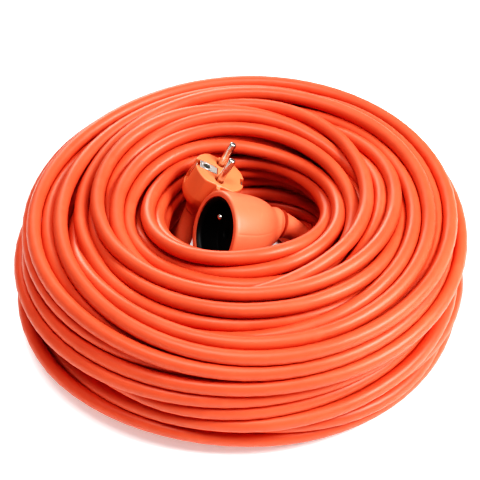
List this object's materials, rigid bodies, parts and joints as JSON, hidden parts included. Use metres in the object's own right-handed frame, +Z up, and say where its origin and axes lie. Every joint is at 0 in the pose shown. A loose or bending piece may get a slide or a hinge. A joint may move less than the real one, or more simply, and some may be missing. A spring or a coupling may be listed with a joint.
{
  "type": "extension cord",
  "caption": "Coiled orange extension cord with a moulded earthed plug and a bell-shaped trailing socket lying in the hole of the coil.",
  "frame": {"origin": "on the floor at the middle of the coil", "axes": "+Z up, along the coil's axis; the trailing socket's mouth faces -X and a little -Y and up; the plug's pins point up and to +X"},
  "size_m": [0.3, 0.3, 0.1035],
  "materials": {
    "cable_sheath": "satin orange PVC cable sheath",
    "housing": "soft moulded orange PVC",
    "black_plastic": "black moulded plastic",
    "inner_plastic": "off-white moulded plastic",
    "nickel": "nickel-plated brass",
    "brass": "plain brass",
    "spring_steel": "drawn spring wire",
    "core_brown": "brown PVC insulation",
    "core_blue": "blue PVC insulation",
    "core_earth": "green and yellow PVC insulation"
  },
  "bodies": {
    "cord": {"cable_coil": "cable_sheath", "plug_tail": "cable_sheath", "socket_tail": "cable_sheath", "plug_sheath_end": "cable_sheath", "socket_sheath_end": "cable_sheath", "plug_bend_sleeve": "housing", "socket_bend_sleeve": "housing", "plug_body": "housing", "socket_body": "housing", "plug_bridge": "inner_plastic", "socket_contact_carrier": "inner_plastic", "socket_insert": "black_plastic", "plug_pin_line": "nickel", "plug_pin_neutral": "nickel", "plug_earth_contact": "nickel", "socket_earth_pin": "nickel", "plug_crimp_line": "brass", "plug_crimp_neutral": "brass", "plug_crimp_earth": "brass", "socket_crimp_line": "brass", "socket_crimp_neutral": "brass", "socket_crimp_earth": "brass", "socket_contact_line": "brass", "socket_contact_neutral": "brass", "socket_shutter_spring_line": "spring_steel", "socket_shutter_spring_neutral": "spring_steel", "plug_core_line": "core_brown", "plug_core_neutral": "core_blue", "plug_core_earth": "core_earth", "socket_core_line": "core_brown", "socket_core_neutral": "core_blue", "socket_core_earth": "core_earth"},
    "shutter": {"socket_shutter": "black_plastic"},
    "earth_clip_upper": {"plug_earth_clip_upper": "nickel"},
    "earth_clip_lower": {"plug_earth_clip_lower": "nickel"}
  },
  "joints": [
    {"name": "shutter_slide", "type": "slide", "parent": "cord", "child": "shutter", "axis": [-0.1176, -0.6708, -0.7322], "range_m": [0, 0.0076], "stiffness_N_per_m": 150, "springref_m": -0.003},
    {"name": "earth_clip_upper_flex", "type": "hinge", "parent": "cord", "child": "earth_clip_upper", "pos_m": [-0.03708, 0.02831, 0.07931], "axis": [0.0301, 0.9959, -0.0851], "range_deg": [0, 5], "stiffness_Nm_per_rad": 0.5, "springref_deg": -1.15},
    {"name": "earth_clip_lower_flex", "type": "hinge", "parent": "cord", "child": "earth_clip_lower", "pos_m": [-0.0092, 0.02621, 0.06457], "axis": [-0.0301, -0.9959, 0.0851], "range_deg": [0, 5], "stiffness_Nm_per_rad": 0.5, "springref_deg": -1.15}
  ]
}
